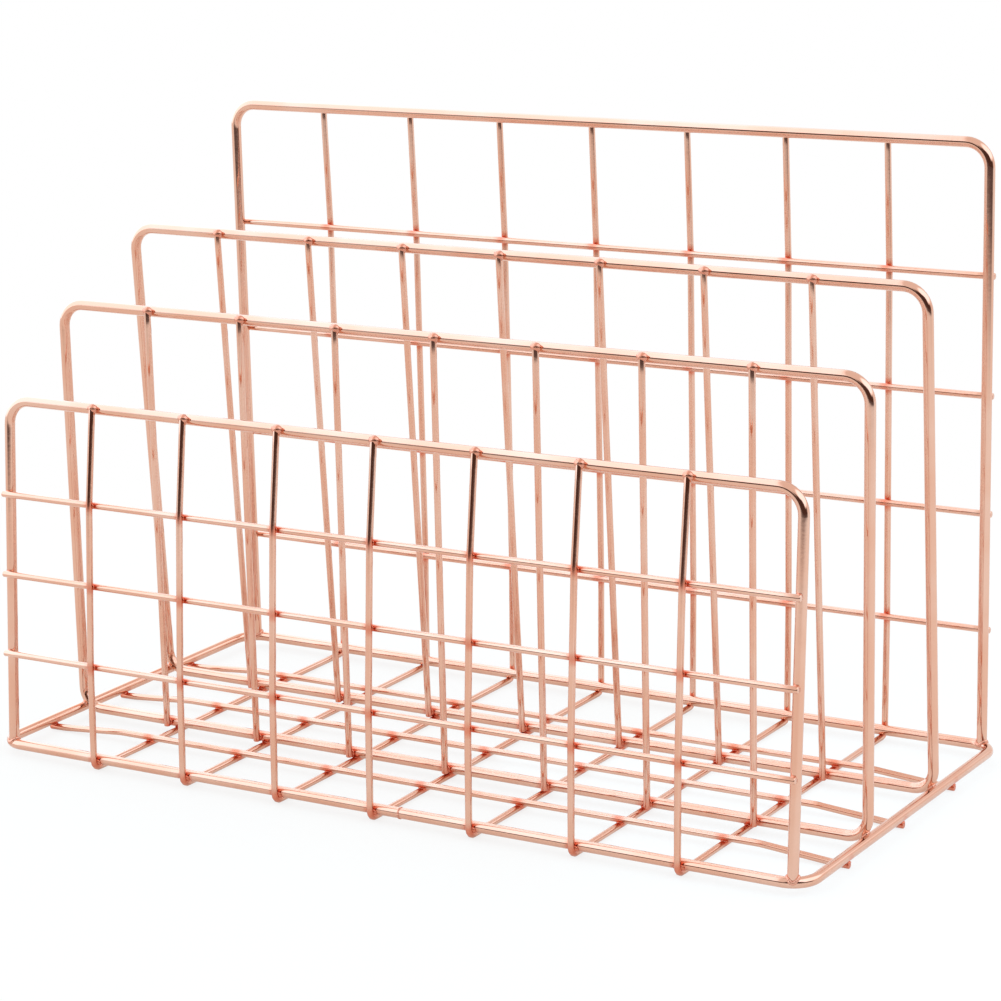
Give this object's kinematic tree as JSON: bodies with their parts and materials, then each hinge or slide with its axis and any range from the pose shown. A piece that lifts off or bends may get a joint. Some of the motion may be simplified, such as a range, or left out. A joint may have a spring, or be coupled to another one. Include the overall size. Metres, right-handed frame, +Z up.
{
  "type": "letter rack",
  "caption": "Free-standing welded wire letter rack with open mesh panels and slots that step up from a low front to a high back, in polished rose gold plated wire.",
  "frame": {"origin": "on the table under the middle of the overall width and depth", "axes": "+X to the right along the slots, +Y to the high back, +Z up"},
  "size_m": [0.3034, 0.1537, 0.205],
  "materials": {
    "frame_wire": "polished rose gold plating",
    "mesh_wire": "polished rose gold plating",
    "weld_bead": "plated over, uneven"
  },
  "bodies": {
    "root": {"base_rim": "frame_wire", "front_frame": "frame_wire", "back_frame": "frame_wire", "low_divider_frame": "frame_wire", "tall_divider_frame": "frame_wire", "long_wire_1": "mesh_wire", "long_wire_2": "mesh_wire", "long_wire_3": "mesh_wire", "long_wire_4": "mesh_wire", "long_wire_5": "mesh_wire", "long_wire_6": "mesh_wire", "long_wire_7": "mesh_wire", "front_cross_wire_1": "mesh_wire", "front_cross_wire_2": "mesh_wire", "front_cross_wire_3": "mesh_wire", "back_cross_wire_1": "mesh_wire", "back_cross_wire_2": "mesh_wire", "back_cross_wire_3": "mesh_wire", "back_cross_wire_4": "mesh_wire", "floor_cross_wire_1": "mesh_wire", "floor_cross_wire_2": "mesh_wire", "floor_cross_wire_3": "mesh_wire", "low_divider_upright_1": "mesh_wire", "low_divider_upright_2": "mesh_wire", "low_divider_upright_3": "mesh_wire", "low_divider_upright_4": "mesh_wire", "low_divider_upright_5": "mesh_wire", "low_divider_upright_6": "mesh_wire", "low_divider_upright_7": "mesh_wire", "tall_divider_upright_1": "mesh_wire", "tall_divider_upright_2": "mesh_wire", "tall_divider_upright_3": "mesh_wire", "tall_divider_upright_4": "mesh_wire", "tall_divider_upright_5": "mesh_wire", "tall_divider_upright_6": "mesh_wire", "tall_divider_upright_7": "mesh_wire", "frame_foot_welds": "weld_bead", "divider_corner_welds": "weld_bead"}
  },
  "joints": []
}
